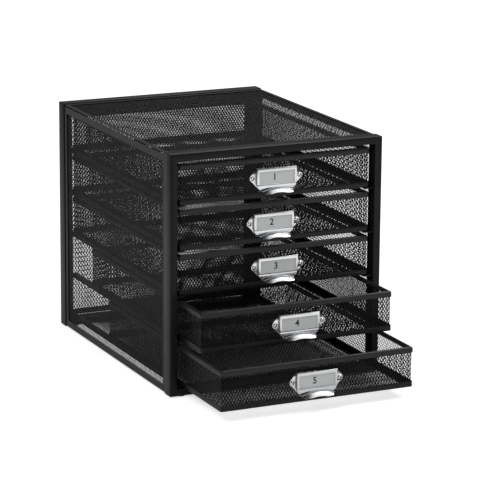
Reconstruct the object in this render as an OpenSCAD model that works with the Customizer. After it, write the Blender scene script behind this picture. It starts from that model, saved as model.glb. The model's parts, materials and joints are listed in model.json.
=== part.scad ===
// Desktop mini drawers: a black expanded-metal cabinet with five drawers for A4 paper.
// Origin: on the surface it stands on, in the middle of everything over it, open drawers included.
// +Z is up and the drawers open towards -Y.

/* [Cabinet] */
// Width over the front and rear frames
cab_w = 275; // [250:1:320]
// Depth from the front frame's face to the rear frame's face
cab_d = 350; // [320:1:400]
// Height of the frames, without the feet
cab_h = 290; // [280:1:340]
// Width of a frame bar, seen from the front
bar_w = 9; // [7:0.5:14]
// Depth of a frame bar
bar_d = 16.5; // [12:0.5:24]
// Thickness of the frames' folded sheet
sheet = 1; // [0.8:0.1:1.4]
// Height of a rubber foot
foot_h = 1.6; // [1:0.1:4]
// Diameter of a rubber foot
foot_dia = 13; // [8:0.5:14]

/* [Panels] */
// Thickness of a panel's edge strip
strip_t = 0.8; // [0.6:0.1:1]
// Width of the strips along the long edges of the side panels
strip_w = 8.4; // [5:0.1:14]
// Width of the strips along the long edges of the top panel
top_strip_w = 5; // [3:0.1:12]
// Width of a strip that stays in view beside a frame bar
strip_show = 7.5; // [4:0.5:12]
// Thickness of the expanded metal
mesh_t = 0.5; // [0.4:0.1:0.8]
// Width of the bars between the expanded metal's openings
web = 6; // [4:0.5:8]
// Distance between openings, the short way of their diamonds
cell_w = 30; // [26:1:40]
// Distance between openings, the long way of their diamonds
cell_l = 46; // [36:1:60]

/* [Drawers] */
// Width of a drawer
drawer_w = 248; // [225:1:251]
// Length of a drawer
drawer_l = 335; // [300:1:338]
// Height of a drawer
drawer_h = 48.5; // [42:0.5:50]
// Distance from one drawer to the next
pitch = 53.9; // [52:0.1:60]
// Height of the lowest drawer's bottom above the frames' lower edge
first_z = 12.5; // [12:0.1:16]
// How far a closed drawer's front sits behind the front frame's face
recess = 5; // [2:0.5:10]
// Height of the folded rim, outside
rim_h = 7; // [5:0.5:10]
// Height of the band round the base
band_h = 7; // [5:0.5:10]
// How far the fourth drawer stands open
open_4 = 62.5; // [0:0.5:230]
// How far the fifth drawer stands open
open_5 = 117.5; // [0:0.5:230]

/* [Pulls] */
// Width of the card frame
pull_w = 52; // [44:1:64]
// Distance between the middles of the ears' round ends
ear_gap = 64; // [58:1:70]
// Distance between the two rivets
rivet_gap = 61; // [57:1:66]
// Radius of the curve over which the finger hood leaves its plate
hood_out = 13; // [12:0.5:14]
// Height of the pull's top edge above the drawer's bottom
pull_top = 35.2; // [33:0.1:38]
// Width of the card
card_w = 49; // [40:1:60]

/* [Hidden] */
$fn = 48;
COUNT = 5;
black = "#1c1c1e";
lattice = "#2b2b2e";
chrome = "#cfd2d4";

// Small overrun for cuts, and the air left between pieces that must not touch
eps = 0.5;
gap = 0.4;

// Cabinet: where the panels lie inside the frames
in_x = cab_w / 2 - sheet;
in_y = cab_d / 2 - bar_d;
tuck = 5.5;
strip_y = in_y + tuck;
inner_x = cab_w / 2 - bar_w;
side_lo = foot_h + sheet;
seam = 1.4;
side_hi = foot_h + cab_h - sheet - strip_t - seam;
mesh_inset = 2;
// Solid edge that the expanded metal shows beside its strips and rims
selvage = 1.5;
back_gap = 0.8;
back_y = cab_d / 2 - sheet;
back_lo = foot_h + bar_w + back_gap;
back_hi = foot_h + cab_h - bar_w - back_gap;
foot_x = cab_w / 2 - 16.5;
foot_y = (cab_d - bar_d) / 2;
foot_chamfer = [1.2, 0.6];

// Runners: an angle with its ledge under the drawer
ledge_w = 11.5;
ledge_t = 1.2;
flange_h = 5;
runner_end = 3;

// Drawers
hem = 1.2;
rim_top_w = 3.2;
rim_top_t = 1;
rim_lip_h = 5;
base_flange = 8;
base_t = 0.8;
corner_r = 2.5;
open_by = [0, 0, 0, open_4, open_5];

// Pulls: heights are above the drawer's bottom, y = 0 is the drawer's front face
pull_shift = [0, -3.3, 2.8, 0.8, -3.1];
pull_t = 1;
plate_y = hem - pull_t;
frame_h = 19.7;
frame_lo = pull_top - frame_h;
frame_out = 3.2;
lip_side = 3;
lip_top = 4;
lip_bottom = 1;
lip_t = 0.8;
card_t = 0.4;
card_h = 17.4;
backing_t = 0.8;
card_slack = 0.2;
ear_z = 23.6;
ear_r = 3.6;
skirt_out = 2.4;
// Where an ear's round end leaves its straight edges, as parts of its radius
ear_edge = [0.75, 0.66];
rivet_r = 1.5;
rivet_head_r = 2.8;
rivet_head_h = 1.4;
rivet_dome_r = (pow(rivet_head_r, 2) + pow(rivet_head_h, 2)) / (2 * rivet_head_h);
waist_x = 27.5;
waist_z = frame_lo;
foot_side = [25, 12];
foot_corner_x = 21.5;
plate_lo = band_h + 2;
hood_top = 12.9;
hood_t = 0.9;
// Radius of the ring, standing on edge, that gives the hood's crest its bend
hood_bend = 52;
// Half the hood's width at the plate and at its full depth
hood_side = [24, 17.4];
hood_depth = 11.5;
hood_rim_side = 5.9;
hood_rim_mid = 7.1;
hood_arch_w = 10;
hood_arch_r = (pow(hood_arch_w, 2) + pow(hood_rim_mid - hood_rim_side, 2))
    / (2 * (hood_rim_mid - hood_rim_side));

// The hood's reach in front of the drawer's face, beside its arch
hood_ring_z = hood_top - hood_out - hood_bend;
hood_reach = sqrt(pow(hood_out, 2)
    - pow(norm([hood_arch_w, hood_rim_side - hood_ring_z]) - hood_bend, 2)) - plate_y;
// The middle of the cabinet's depth: the open drawers move it back from the origin
mid_y = (open_5 - recess + hood_reach) / 2;

// Height of a drawer's bottom above the surface; drawer 1 is the top one
function bottom_z(i) = foot_h + first_z + (COUNT - i) * pitch;

// ---------------------------------------------------------------- helpers

// A rectangle with round corners, centred in x, starting at y = 0
module round_rect(w, l, r) {
    translate([-w / 2 + r, 0]) square([w - 2 * r, l]);
    translate([-w / 2, r]) square([w, l - 2 * r]);
    for (x = [-w / 2 + r, w / 2 - r], y = [r, l - r])
        translate([x, y]) circle(r);
}

// An upright band that follows a drawer's outline, from inset a to inset b
module outline_band(a, b, h) {
    linear_extrude(h) difference() {
        translate([0, a]) round_rect(drawer_w - 2 * a, drawer_l - 2 * a, max(corner_r - a, 0.3));
        translate([0, b]) round_rect(drawer_w - 2 * b, drawer_l - 2 * b, max(corner_r - b, 0.3));
    }
}

// A flat rectangular ring in the XY plane: outer size, and the width of its x and y sides
module flat_ring(w, l, side_x, side_y, t) {
    linear_extrude(t) difference() {
        square([w, l], center = true);
        square([w - 2 * side_x, l - 2 * side_y], center = true);
    }
}

// Diamond openings over an area centred on the origin, halved where they meet its edges;
// those nearer than whole to its middle, across, are left out
module diamonds(w, l, whole = 0) {
    nw = max(1, round(w / cell_w));
    nl = max(1, round(l / cell_l));
    dw = w / nw;
    dl = l / nl;
    open = (1 - web * norm([dw, dl]) / (dw * dl)) / 2;
    intersection() {
        square([w, l], center = true);
        for (i = [0 : 2 * nw], j = [0 : 2 * nl])
            if ((i + j) % 2 == 1 && abs(i * dw - w) / 2 >= whole)
                translate([(i * dw - w) / 2, (j * dl - l) / 2])
                    polygon([[-dw * open, 0], [0, -dl * open], [dw * open, 0], [0, dl * open]]);
    }
}

// A plate of expanded metal: its size, and the window of its strips that the openings fill
module metal_plate(w, l, window_w, window_l) {
    linear_extrude(mesh_t) difference() {
        square([w, l], center = true);
        diamonds(window_w - 2 * selvage, window_l - 2 * selvage);
    }
}

module in_cabinet() {
    translate([0, mid_y, 0]) children();
}

module in_drawer(i) {
    in_cabinet() translate([0, -cab_d / 2 + recess - open_by[i - 1], bottom_z(i)]) children();
}

// ---------------------------------------------------------------- cabinet

// A rectangular frame folded from a channel, open on its +Y side
module channel_frame() {
    difference() {
        cube([cab_w, bar_d, cab_h], center = true);
        cube([cab_w - 2 * bar_w, bar_d + 2 * eps, cab_h - 2 * bar_w], center = true);
        translate([0, sheet, 0]) difference() {
            cube([cab_w - 2 * sheet, bar_d, cab_h - 2 * sheet], center = true);
            cube([cab_w - 2 * (bar_w - sheet), bar_d + eps, cab_h - 2 * (bar_w - sheet)],
                center = true);
        }
    }
}

module front_frame() {
    color(black) in_cabinet() translate([0, -(cab_d - bar_d) / 2, foot_h + cab_h / 2])
        channel_frame();
}

module rear_frame() {
    color(black) in_cabinet() translate([0, (cab_d - bar_d) / 2, foot_h + cab_h / 2])
        mirror([0, 1, 0]) channel_frame();
}

// The strips round a side panel, on its outer face; side is -1 left, 1 right
module side_trim(side) {
    h = side_hi - side_lo;
    color(black) in_cabinet()
        translate([side * (in_x - strip_t / 2), 0, (side_lo + side_hi) / 2])
            rotate([0, 90, 0]) translate([0, 0, -strip_t / 2])
                flat_ring(h, 2 * strip_y, strip_w, strip_show + tuck, strip_t);
}

module side_mesh(side) {
    l = 2 * strip_y;
    h = side_hi - side_lo;
    color(lattice) in_cabinet()
        translate([side * (in_x - strip_t - mesh_t / 2) - mesh_t / 2, 0, (side_lo + side_hi) / 2])
            rotate([90, 0, 90])
                metal_plate(l - 2 * mesh_inset, h - 2 * mesh_inset,
                    l - 2 * (strip_show + tuck), h - 2 * strip_w);
}

module top_trim() {
    color(black) in_cabinet() translate([0, 0, foot_h + cab_h - sheet - strip_t])
        flat_ring(2 * in_x, 2 * strip_y, top_strip_w, strip_show + tuck, strip_t);
}

module top_mesh() {
    l = 2 * strip_y;
    color(lattice) in_cabinet() translate([0, 0, foot_h + cab_h - sheet - strip_t - mesh_t])
        metal_plate(2 * (in_x - strip_t - mesh_t - mesh_inset), l - 2 * mesh_inset,
            2 * (in_x - top_strip_w), l - 2 * (strip_show + tuck));
}

// The back panel lies inside the rear frame and is held by its sides
module back_trim() {
    color(black) in_cabinet() translate([0, back_y, (back_lo + back_hi) / 2]) rotate([90, 0, 0])
        flat_ring(2 * inner_x, back_hi - back_lo, strip_show, strip_show, strip_t);
}

module back_mesh() {
    w = 2 * inner_x;
    h = back_hi - back_lo;
    color(lattice) in_cabinet() translate([0, back_y - strip_t, (back_lo + back_hi) / 2])
        rotate([90, 0, 0])
            metal_plate(w - 2 * mesh_inset, h - 2 * mesh_inset,
                w - 2 * strip_show, h - 2 * strip_show);
}

module foot(sx, sy) {
    r = foot_dia / 2;
    color("#151515") in_cabinet() translate([sx * foot_x, sy * foot_y, 0]) rotate_extrude()
        polygon([[0, 0], [r - foot_chamfer[0], 0], [r, foot_h - foot_chamfer[1]],
            [r, foot_h], [0, foot_h]]);
}

// An angle: the ledge carries the drawer, the upright flange is welded to both frames
module runner(side, i) {
    l = cab_d - 2 * runner_end;
    z = bottom_z(i) - gap;
    color(black) in_cabinet() translate([side * inner_x, -l / 2, z])
        mirror([side > 0 ? 1 : 0, 0, 0]) {
            translate([0, 0, -ledge_t]) cube([ledge_w, l, ledge_t]);
            cube([ledge_t, l, flange_h]);
        }
}

// ---------------------------------------------------------------- drawers

// A hem folded over the top edge of the expanded metal
module drawer_rim(i) {
    top = drawer_h - rim_top_t;
    color(black) in_drawer(i) {
        translate([0, 0, drawer_h - rim_h]) outline_band(0, hem, rim_h);
        translate([0, 0, top]) outline_band(0, rim_top_w, rim_top_t);
        translate([0, 0, top - rim_lip_h + rim_top_t])
            outline_band(hem + mesh_t, rim_top_w, rim_lip_h);
    }
}

module basket_skin() {
    translate([0, 0, base_t]) {
        outline_band(hem, hem + mesh_t, drawer_h - rim_top_t - base_t);
        linear_extrude(mesh_t) translate([0, hem])
            round_rect(drawer_w - 2 * hem, drawer_l - 2 * hem, corner_r - hem);
    }
}

// Openings through a wall w long, between the base band and the rim, over a depth in Y
module wall_openings(w, deep, whole = 0) {
    bare = drawer_h - rim_h - band_h;
    translate([0, 0, band_h + bare / 2]) rotate([90, 0, 0])
        linear_extrude(deep, center = true)
            diamonds(w - 2 * (corner_r + selvage), bare - 2 * selvage, whole);
}

// The tray of expanded metal; its front wall stays whole behind the pull, which is riveted to it
module drawer_basket(i) {
    edge = base_flange + selvage;
    color(lattice) in_drawer(i) difference() {
        basket_skin();
        wall_openings(drawer_w, 4 * hem, rivet_gap / 2 + 2 * ear_r);
        translate([0, drawer_l, 0]) wall_openings(drawer_w, 4 * hem);
        translate([0, drawer_l / 2, 0]) {
            rotate([0, 0, 90]) wall_openings(drawer_l, 2 * drawer_w);
            linear_extrude(2 * base_t) diamonds(drawer_w - 2 * edge, drawer_l - 2 * edge);
        }
    }
}

// The band round the base, with a flange under the floor
module drawer_base_band(i) {
    color(black) in_drawer(i) {
        outline_band(0, hem, band_h);
        outline_band(0, base_flange, base_t);
    }
}

// ---------------------------------------------------------------- pulls

// The solid under the hood's skin: a ring that stands on edge, halfway through the plate
module hood_form(r) {
    translate([0, plate_y, hood_ring_z]) rotate([90, 0, 0])
        rotate_extrude($fn = 240) translate([hood_bend, 0]) circle(r, $fn = 96);
}

module pull_plate_outline() {
    ear_x = ear_gap / 2 + ear_r * ear_edge[0];
    ear_half = ear_r * ear_edge[1];
    polygon([
        [-pull_w / 2, pull_top], [pull_w / 2, pull_top],
        [ear_x, ear_z + ear_half], [ear_x, ear_z - ear_half],
        [waist_x, waist_z], foot_side, [foot_corner_x, plate_lo],
        [-foot_corner_x, plate_lo], [-foot_side[0], foot_side[1]], [-waist_x, waist_z],
        [-ear_x, ear_z - ear_half], [-ear_x, ear_z + ear_half]
    ]);
    for (s = [-1, 1]) translate([s * ear_gap / 2, ear_z]) circle(ear_r);
}

// The raised skirt between the card frame and the plate's foot
module skirt_outline(inset) {
    side = foot_side + [-0.9, 0.55] * inset;
    corner = [foot_corner_x, plate_lo] + [-0.4, 1] * inset;
    polygon([
        [-pull_w / 2 + inset, frame_lo], [pull_w / 2 - inset, frame_lo],
        side, corner, [-corner[0], corner[1]], [-side[0], side[1]]
    ]);
}

// The card frame is pressed out of the plate and is hollow behind
module card_frame() {
    w = pull_w;
    difference() {
        translate([-w / 2, -frame_out, frame_lo]) cube([w, frame_out + plate_y, frame_h]);
        translate([-w / 2 + lip_side, -frame_out - eps, frame_lo + lip_bottom])
            cube([w - 2 * lip_side, lip_t + 2 * eps, frame_h - lip_top - lip_bottom]);
        translate([-card_w / 2 - card_slack, -frame_out + lip_t, frame_lo + lip_bottom])
            cube([card_w + 2 * card_slack, card_t, card_h + card_slack]);
    }
}

module pull_body() {
    back = -frame_out + lip_t + card_t + backing_t;
    difference() {
        union() {
            translate([0, hem, 0]) rotate([90, 0, 0]) linear_extrude(pull_t) pull_plate_outline();
            translate([0, hem, 0]) rotate([90, 0, 0]) linear_extrude(hem + skirt_out)
                skirt_outline(0);
            card_frame();
        }
        translate([0, hem + eps, 0]) rotate([90, 0, 0])
            linear_extrude(hem + eps + skirt_out - pull_t) skirt_outline(pull_t);
        translate([-pull_w / 2 + pull_t, back, frame_lo + pull_t])
            cube([pull_w - 2 * pull_t, hem - back + eps, frame_h - 2 * pull_t]);
        for (s = [-1, 1]) translate([s * rivet_gap / 2, hem + eps, ear_z]) rotate([90, 0, 0])
            cylinder(r = rivet_r, h = pull_t + 2 * eps);
        hood_form(hood_out - hood_t);
    }
}

// The finger hood: an awning that narrows towards its front, its lower edge arched
module pull_hood() {
    far = hood_bend + hood_out + eps;
    intersection() {
        difference() {
            hood_form(hood_out);
            hood_form(hood_out - hood_t);
            translate([-far, -gap, -far]) cube([2 * far, 2 * far, far + plate_lo]);
            translate([0, eps, hood_rim_mid - hood_arch_r]) rotate([90, 0, 0])
                cylinder(r = hood_arch_r, h = far, $fn = 180);
        }
        translate([0, 0, hood_rim_side]) linear_extrude(hood_out) polygon([
            [-hood_side[0], plate_y], [hood_side[0], plate_y],
            [hood_side[1], -hood_depth], [-hood_side[1], -hood_depth]
        ]);
    }
}

module drawer_pull(i) {
    color(chrome) in_drawer(i) translate([pull_shift[i - 1], 0, 0]) {
        pull_body();
        pull_hood();
    }
}

module drawer_card(i) {
    color("#e9e7e0") in_drawer(i)
        translate([pull_shift[i - 1] - card_w / 2, -frame_out + lip_t, frame_lo + lip_bottom])
            cube([card_w, card_t, card_h]);
}

// Two rivets with domed heads hold the pull to the basket
module drawer_rivets(i) {
    color(chrome) in_drawer(i) for (s = [-1, 1])
        translate([pull_shift[i - 1] + s * rivet_gap / 2, plate_y, ear_z])
            rotate([-90, 0, 0]) {
                cylinder(r = rivet_r, h = pull_t);
                intersection() {
                    translate([0, 0, rivet_dome_r - rivet_head_h]) sphere(rivet_dome_r);
                    translate([0, 0, -rivet_head_h]) cylinder(r = rivet_head_r, h = rivet_head_h);
                }
            }
}

// ---------------------------------------------------------------- parts

front_frame();
rear_frame();
side_trim(-1);  // left_side_trim
side_mesh(-1);  // left_side_mesh
side_trim(1);  // right_side_trim
side_mesh(1);  // right_side_mesh
top_trim();
top_mesh();
back_trim();
back_mesh();
foot(-1, -1);  // foot_front_left
foot(1, -1);  // foot_front_right
foot(-1, 1);  // foot_rear_left
foot(1, 1);  // foot_rear_right
for (i = [1 : COUNT]) {
    runner(-1, i);
    runner(1, i);
    drawer_rim(i);
    drawer_basket(i);
    drawer_base_band(i);
    drawer_pull(i);
    drawer_card(i);
    drawer_rivets(i);
}
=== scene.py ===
"""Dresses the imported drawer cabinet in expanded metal, folded sheet, plated pulls and cards."""

import json
from math import cos, pi, radians, sin, sqrt

import bmesh
import bpy
import numpy as np
from bpy.props import FloatProperty, FloatVectorProperty, PointerProperty
from mathutils import Matrix, Vector

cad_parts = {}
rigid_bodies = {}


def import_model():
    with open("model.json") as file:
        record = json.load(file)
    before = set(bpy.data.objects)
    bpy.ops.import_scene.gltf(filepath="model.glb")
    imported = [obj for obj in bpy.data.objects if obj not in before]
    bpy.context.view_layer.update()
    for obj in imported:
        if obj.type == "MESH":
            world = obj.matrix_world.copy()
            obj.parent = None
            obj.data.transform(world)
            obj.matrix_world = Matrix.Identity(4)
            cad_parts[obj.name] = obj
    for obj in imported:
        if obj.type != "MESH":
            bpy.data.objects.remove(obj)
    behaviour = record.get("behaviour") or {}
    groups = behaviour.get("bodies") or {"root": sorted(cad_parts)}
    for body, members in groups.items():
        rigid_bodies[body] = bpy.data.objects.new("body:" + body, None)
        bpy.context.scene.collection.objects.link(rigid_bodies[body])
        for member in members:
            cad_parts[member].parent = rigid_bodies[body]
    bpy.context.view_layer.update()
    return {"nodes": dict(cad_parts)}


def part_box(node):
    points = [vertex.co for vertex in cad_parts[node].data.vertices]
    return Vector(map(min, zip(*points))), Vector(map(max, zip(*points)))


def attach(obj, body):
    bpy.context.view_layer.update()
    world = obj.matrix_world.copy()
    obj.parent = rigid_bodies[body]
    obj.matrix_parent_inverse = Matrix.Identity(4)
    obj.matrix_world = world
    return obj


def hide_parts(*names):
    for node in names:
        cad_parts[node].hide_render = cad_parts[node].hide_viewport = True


bl_info = {
    "name": "Desktop Mini Drawers",
    "version": (1, 0, 0),
    "blender": (4, 5, 0),
    "location": "3D View > Sidebar > Drawers",
    "description": "Builds the expanded-metal desktop cabinet round its packed frame",
    "category": "Object",
}

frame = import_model()

DRAWERS = (1, 2, 3, 4, 5)
SIDES = (-1, 1)
MM = 0.001
TOUCH = 1e-5  # two places nearer than this are one
WELD_TOUCH, CUT_TOUCH = 1e-6, 1e-7  # the same for points that are merged, and for a plane's cut
FOLD_ANGLE = radians(38)  # edges sharper than this are rounded and shaded as folds
FLAT = 0.99  # the share of a normal along an axis from which its face is square to it
UV_MAP = "OFBake"

# How far a basket's walls and floor lie inside its box, and which part of the map each takes.
WALL_INSET, FLOOR_INSET, FLOOR_LIFT = 1.2 * MM, 0.5 * MM, 0.45 * MM
WALL_MAP, FLOOR_MAP = (0, 0.12), (0.14, 1)

# The pull, in its drawer's own place: x from the pull's middle, y from the drawer's face and
# z from the drawer's bottom. These repeat the part's own measures.
PLATE_FRONT, PLATE_BACK = 0.2 * MM, 1.2 * MM
PLATE_TOP, PLATE_FOOT = 35.2 * MM, 9 * MM
PLATE_HALF, WAIST_HALF = 26 * MM, 27.5 * MM
SIDE_HALF, SIDE_Z, FOOT_HALF = 25 * MM, 12 * MM, 21.5 * MM
EAR_TIP, EAR_Z = 35.6 * MM, 23.6 * MM
EAR_ROUND, FOOT_ROUND, PLATE_FOLD = 3.4 * MM, 1.5 * MM, 0.3 * MM
SKIRT_FRONT, SKIRT_FOLD = -2.4 * MM, 0.8 * MM
CARD_FRAME_LOW, CARD_FRAME_FRONT = 15.5 * MM, -3.2 * MM
CARD_FRAME_ROUND, CARD_FRAME_FLAT = 0.7 * MM, 0.3 * MM
LIP_SIDE, LIP_TOP, LIP_FOOT, LIP_THICK = 3 * MM, 4 * MM, 1 * MM, 0.8 * MM
SLOT_SIDE, SLOT_DEEP = 2 * MM, 0.5 * MM
SIDE_SKIN, SIDE_DEEP = 0.5 * MM, 1.5 * MM
HOOD_TOP, HOOD_CURVE, HOOD_BEND = 12.9 * MM, 13 * MM, 52 * MM
HOOD_SKIN, HOOD_FOLD = 0.9 * MM, 0.22 * MM
HOOD_SIDE, HOOD_SIDE_FRONT, HOOD_DEPTH = 24 * MM, 17.4 * MM, 11.5 * MM
HOOD_RIM_SIDE, HOOD_RIM_MID, HOOD_ARCH_HALF = 5.9 * MM, 7.1 * MM, 10 * MM
RIVET_X, RIVET_BACK, RIVET_SHANK = 30.5 * MM, 1 * MM, 0.9 * MM
RIVET_HOLE, RIVET_HOLE_DEEP, RIVET_FOLD = 1.4 * MM, 1.5 * MM, 0.15 * MM
RIVET_STEP = 0.3  # how far the head stands out round its shank, as a part of its radius

# A card and its number, which stands left of the card's middle.
CARD_FOLD = 0.1 * MM
NUMBER_SIZE, NUMBER_BOLD, NUMBER_THICK = 11 * MM, 0.25 * MM, 0.03 * MM
NUMBER_LEFT, NUMBER_LOW, NUMBER_SUNK = 3 * MM, 4.2 * MM, 0.02 * MM


# ---------------------------------------------------------------- settings


def millimetres(name, description, default, low, high):
    """A setting that holds a size, given in millimetres."""
    return FloatProperty(name=name, description=description, default=default * MM,
                         min=low * MM, max=high * MM, unit="LENGTH")


def linear_colour(name, description, default):
    """A setting that holds a colour."""
    return FloatVectorProperty(name=name, description=description, default=default,
                               min=0, max=1, subtype="COLOR", size=3)


class ExpandedMetal(bpy.types.PropertyGroup):
    """The diamond lattice of the panels and baskets."""

    cell_width: millimetres(
        "Cell width", "Short way of a diamond", 3.8, low=2, high=12)
    cell_length: millimetres(
        "Cell length", "Long way of a diamond", 6, low=3, high=20)
    strand_width: millimetres(
        "Strand width", "Width of a strand, across the sheet", 1.18, low=0.3, high=2)
    strand_depth: millimetres(
        "Strand depth", "Thickness of a strand", 0.34, low=0.1, high=0.5)
    unevenness: millimetres(
        "Unevenness", "How far a strand strays from its true place", 0.14, low=0, high=0.4)


class FoldedSheet(bpy.types.PropertyGroup):
    """The painted sheet of the frames, rims and bands."""

    frame_bar: millimetres(
        "Frame bar", "Width of a frame's bar, seen from the front", 9, low=5, high=14)
    frame_skin: millimetres(
        "Frame skin", "Thickness of a frame's sheet", 1, low=0.5, high=2)
    frame_fold: millimetres(
        "Frame fold", "Radius of a frame's folded edges", 0.95, low=0.1, high=2)
    rim_top: millimetres(
        "Rim top", "Width of a drawer rim's upper face", 3.2, low=2, high=6)
    rim_round: millimetres(
        "Rim round", "Radius of a drawer rim's outer upper edge", 2.4, low=0.2, high=3)
    rim_skin: millimetres(
        "Rim skin", "Thickness of a drawer rim's sheet", 1, low=0.4, high=1.2)
    rim_lip: millimetres(
        "Rim lip", "Height of a drawer rim inside the basket", 5, low=2, high=8)
    rim_fold: millimetres(
        "Rim fold", "Radius of a drawer rim's folded edges", 0.4, low=0.1, high=1)
    band_flange: millimetres(
        "Band flange", "Width of the base band's flange under the floor", 8, low=4, high=14)
    band_skin: millimetres(
        "Band skin", "Thickness of the base band's sheet", 0.75, low=0.4, high=1.2)
    band_fold: millimetres(
        "Band fold", "Radius of the base band's folded edges", 0.3, low=0.1, high=1)
    corner: millimetres(
        "Corner radius", "Radius of a drawer's upright corners", 2.5, low=0.5, high=8)


class Finishes(bpy.types.PropertyGroup):
    """Colours, as linear values."""

    paint: linear_colour(
        "Paint", "The black satin paint", (0.0045, 0.0044, 0.0047))
    paint_light: linear_colour(
        "Paint, light", "The paint where it is thin or dusty", (0.008, 0.0078, 0.0082))
    # Painted light: the rims' black paint is set lighter than the frame's, for the light that the
    # rims catch.
    rim: linear_colour(
        "Rim paint", "The drawer rims' paint, which is a little lighter", (0.013, 0.0135, 0.0155))
    plating: linear_colour(
        "Plating", "The pulls' bright plating", (0.66, 0.67, 0.685))
    rivet: linear_colour(
        "Rivets", "The rivets' warmer plating", (0.82, 0.78, 0.68))
    # Painted shade: a dark coat for the hollows inside the rivets and the card frames' sides, where
    # shade falls.
    hollow: linear_colour(
        "Hollows", "The dark steel inside the rivets and the card frames' sides",
        (0.012, 0.011, 0.01))
    card: linear_colour(
        "Card", "The label cards", (0.52, 0.53, 0.53))
    ink: linear_colour(
        "Ink", "The cards' numbers", (0.02, 0.02, 0.022))
    rubber: linear_colour(
        "Rubber", "The feet", (0.012, 0.012, 0.012))


class Studio(bpy.types.PropertyGroup):
    """The stage's light and floor."""

    sky: FloatProperty(
        name="Sky", description="How much the white surround lights the object", default=0.5,
        min=0, max=2)
    shine_low: FloatProperty(
        name="Shine, low", description="The surround's darker part, as metal shows it",
        default=0.03, min=0, max=2)
    shine_high: FloatProperty(
        name="Shine, high", description="The surround's bright part, as metal shows it",
        default=1.2, min=0, max=2)
    key: FloatProperty(
        name="Key lamp", description="Power of the large lamp at the left", default=26,
        min=0, max=400, unit="POWER")
    fill: FloatProperty(
        name="Fill lamp", description="Power of the lamp at the right", default=18,
        min=0, max=400, unit="POWER")
    floor: FloatVectorProperty(
        name="Floor", description="Colour of the pale floor", default=(0.8, 0.8, 0.8),
        min=0, max=1, subtype="COLOR", size=3)


class CabinetSettings(bpy.types.PropertyGroup):
    """All that a user would change."""

    metal: PointerProperty(type=ExpandedMetal)
    sheet: PointerProperty(type=FoldedSheet)
    finish: PointerProperty(type=Finishes)
    studio: PointerProperty(type=Studio)


# ---------------------------------------------------------------- hands


def rest():
    """Leaves edit mode, with nothing selected."""
    if bpy.context.object and bpy.context.object.mode != "OBJECT":
        bpy.ops.object.mode_set(mode="OBJECT")
    bpy.ops.object.select_all(action="DESELECT")


def take(*objs):
    """Selects these objects alone, the first of them active."""
    rest()
    for o in objs:
        o.select_set(True)
    bpy.context.view_layer.objects.active = objs[0]


def open_mesh(obj):
    """Opens the object's mesh for editing, with all of it selected."""
    take(obj)
    bpy.ops.object.mode_set(mode="EDIT")
    bpy.ops.mesh.select_all(action="SELECT")


def pick(kind, test):
    """In edit mode, selects the vertices, edges or faces that pass test(middle, element)."""
    bpy.ops.mesh.select_mode(type=kind)
    bpy.ops.mesh.select_all(action="DESELECT")
    mesh = bpy.context.edit_object.data
    bm = bmesh.from_edit_mesh(mesh)
    bm.normal_update()
    found = 0
    for x in {"VERT": bm.verts, "EDGE": bm.edges, "FACE": bm.faces}[kind]:
        if kind == "VERT":
            middle = x.co
        elif kind == "EDGE":
            middle = (x.verts[0].co + x.verts[1].co) / 2
        else:
            middle = x.calc_center_median()
        if test(middle, x):
            x.select_set(True)
            found += 1
    bm.select_flush_mode()
    bmesh.update_edit_mesh(mesh)
    if not found:
        raise RuntimeError(f"nothing was picked on {bpy.context.edit_object.name}")


def settle(obj):
    """Moves the object's place, turn and scale into its mesh."""
    take(obj)
    bpy.ops.object.transform_apply(location=True, rotation=True, scale=True)


def shift(obj, by):
    """Moves the object's mesh."""
    take(obj)
    bpy.ops.transform.translate(value=by)
    settle(obj)


def use(obj, kind, **values):
    """Adds a modifier and applies it."""
    take(obj)
    made = obj.modifiers.new(kind, kind)
    for name, value in values.items():
        setattr(made, name, value)
    bpy.ops.object.modifier_apply(modifier=made.name)


def round_folds(obj, radius, segments=2):
    """Rounds the sharp edges, and shades the rest smooth."""
    use(obj, "BEVEL", width=radius, segments=segments, limit_method="ANGLE",
        angle_limit=FOLD_ANGLE)
    take(obj)
    bpy.ops.object.shade_smooth_by_angle(angle=FOLD_ANGLE)


def extrude(by):
    """In edit mode, extrudes what is picked."""
    bpy.ops.mesh.extrude_region_move(TRANSFORM_OT_translate={"value": by})


def cut(obj, at, normal, clear=True, fill=True):
    """Cuts the mesh along a plane and, with clear, drops what is on the normal's side."""
    open_mesh(obj)
    bpy.ops.mesh.bisect(plane_co=at, plane_no=normal, use_fill=fill and clear,
                        clear_outer=clear, threshold=CUT_TOUCH)
    rest()


def face_out(obj):
    """Turns all normals of a closed shape outwards."""
    open_mesh(obj)
    bpy.ops.mesh.remove_doubles(threshold=WELD_TOUCH)
    bpy.ops.mesh.normals_make_consistent(inside=False)
    rest()


def block(low, high):
    """A box between two corners."""
    rest()
    low, high = Vector(low), Vector(high)
    bpy.ops.mesh.primitive_cube_add(size=1, location=(low + high) / 2, scale=high - low)
    obj = bpy.context.object
    settle(obj)
    return obj


def join(*objs):
    """Makes one object of several, the first of them."""
    take(*objs)
    bpy.ops.object.join()
    return objs[0]


def another(obj):
    """A copy with its own mesh."""
    take(obj)
    bpy.ops.object.duplicate(linked=False)
    return bpy.context.object


def coat_picked(obj, material):
    """In edit mode, gives the picked faces, and what was just extruded from them, a finish."""
    if material.name not in obj.data.materials:
        obj.data.materials.append(material)
    obj.active_material_index = obj.data.materials.find(material.name)
    bpy.ops.mesh.select_more()
    bpy.ops.object.material_slot_assign()


def hand_over(obj, name, body, material=None, nodes=()):
    """Names the finished piece, gives it its finish, and puts it on its body."""
    rest()
    obj.name = obj.data.name = name
    if material:
        obj.data.materials.clear()
        obj.data.materials.append(material)
    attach(obj, body)
    if nodes:
        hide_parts(*nodes)


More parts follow.
